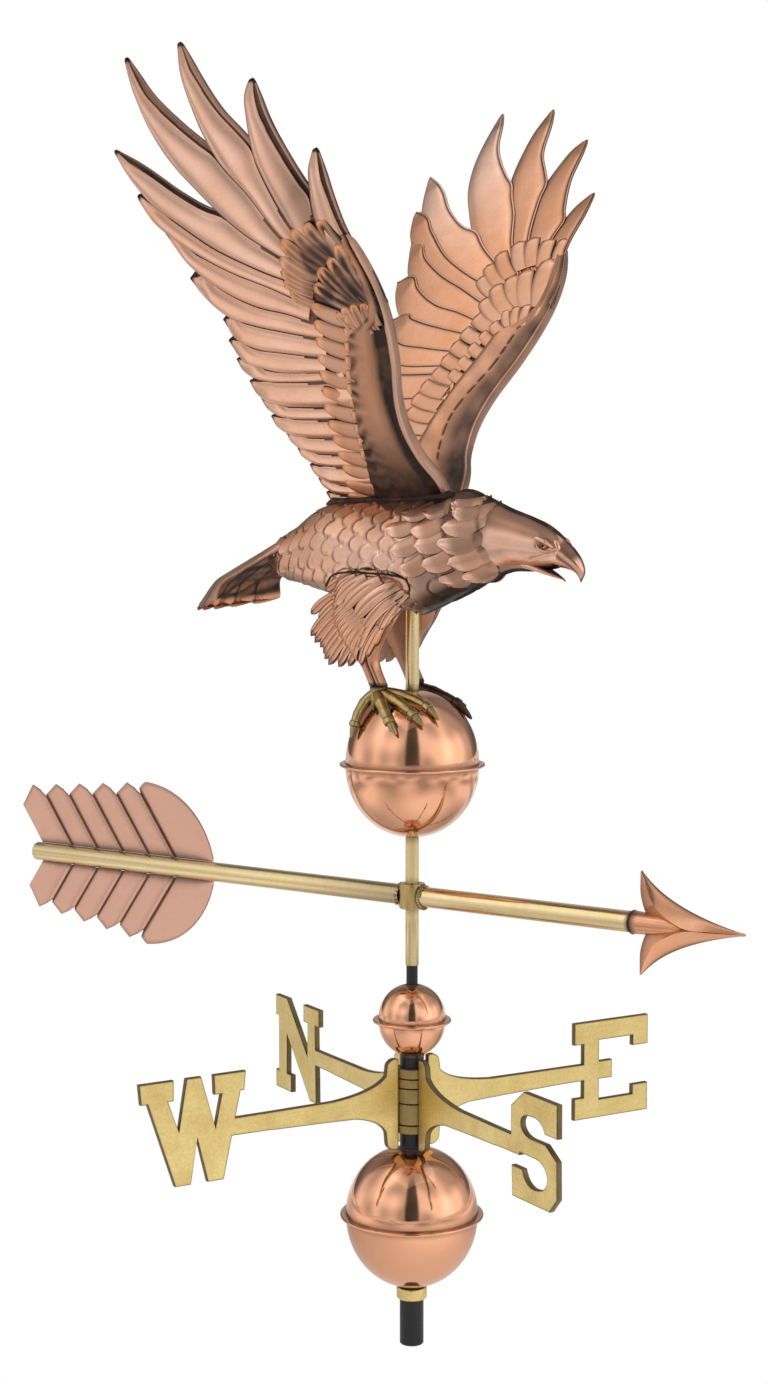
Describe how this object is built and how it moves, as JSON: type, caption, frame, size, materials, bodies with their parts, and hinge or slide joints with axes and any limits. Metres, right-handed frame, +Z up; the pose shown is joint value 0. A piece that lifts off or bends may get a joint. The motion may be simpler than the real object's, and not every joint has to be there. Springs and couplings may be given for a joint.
{
  "type": "eagle weathervane",
  "caption": "Copper eagle with raised wings on a globe over a feathered arrow, turning on a steel rod above brass compass arms and polished globes.",
  "frame": {"origin": "centre of the steel rod's lower end", "axes": "+Z up along the rod, +X along the east arm, +Y along the north arm"},
  "size_m": [0.4859, 0.6284, 0.987],
  "materials": {
    "feather_copper": "satin copper with dark patina in its grooves",
    "polished_copper": "polished copper",
    "sheet_copper": "satin copper sheet",
    "cast_brass": "brushed brass casting",
    "brass_tube": "drawn brass tube",
    "aged_brass": "olive antique brass",
    "brown_brass": "dark brown antique brass",
    "black_steel": "satin black"
  },
  "bodies": {
    "spindle": {"steel_rod": "black_steel", "globe_collar": "cast_brass", "lower_globe": "polished_copper", "east_arm": "cast_brass", "north_arm": "cast_brass", "west_arm": "cast_brass", "south_arm": "cast_brass", "small_globe": "polished_copper"},
    "vane": {"arrow_collar": "brass_tube", "arrow_tail_tube": "brass_tube", "arrow_front_tube": "brass_tube", "upper_fletching": "sheet_copper", "lower_fletching": "sheet_copper", "arrow_head": "feather_copper", "perch_globe": "polished_copper", "vane_tube": "brass_tube", "eagle_body": "feather_copper", "tail": "feather_copper", "left_wing": "feather_copper", "right_wing": "feather_copper", "left_leg": "feather_copper", "right_leg": "feather_copper", "left_foot": "brown_brass", "right_foot": "aged_brass"}
  },
  "joints": [
    {"name": "vane_turn", "type": "hinge", "parent": "spindle", "child": "vane", "pos_m": [0, 0, 0.3], "axis": [0, 0, 1], "continuous": true}
  ]
}
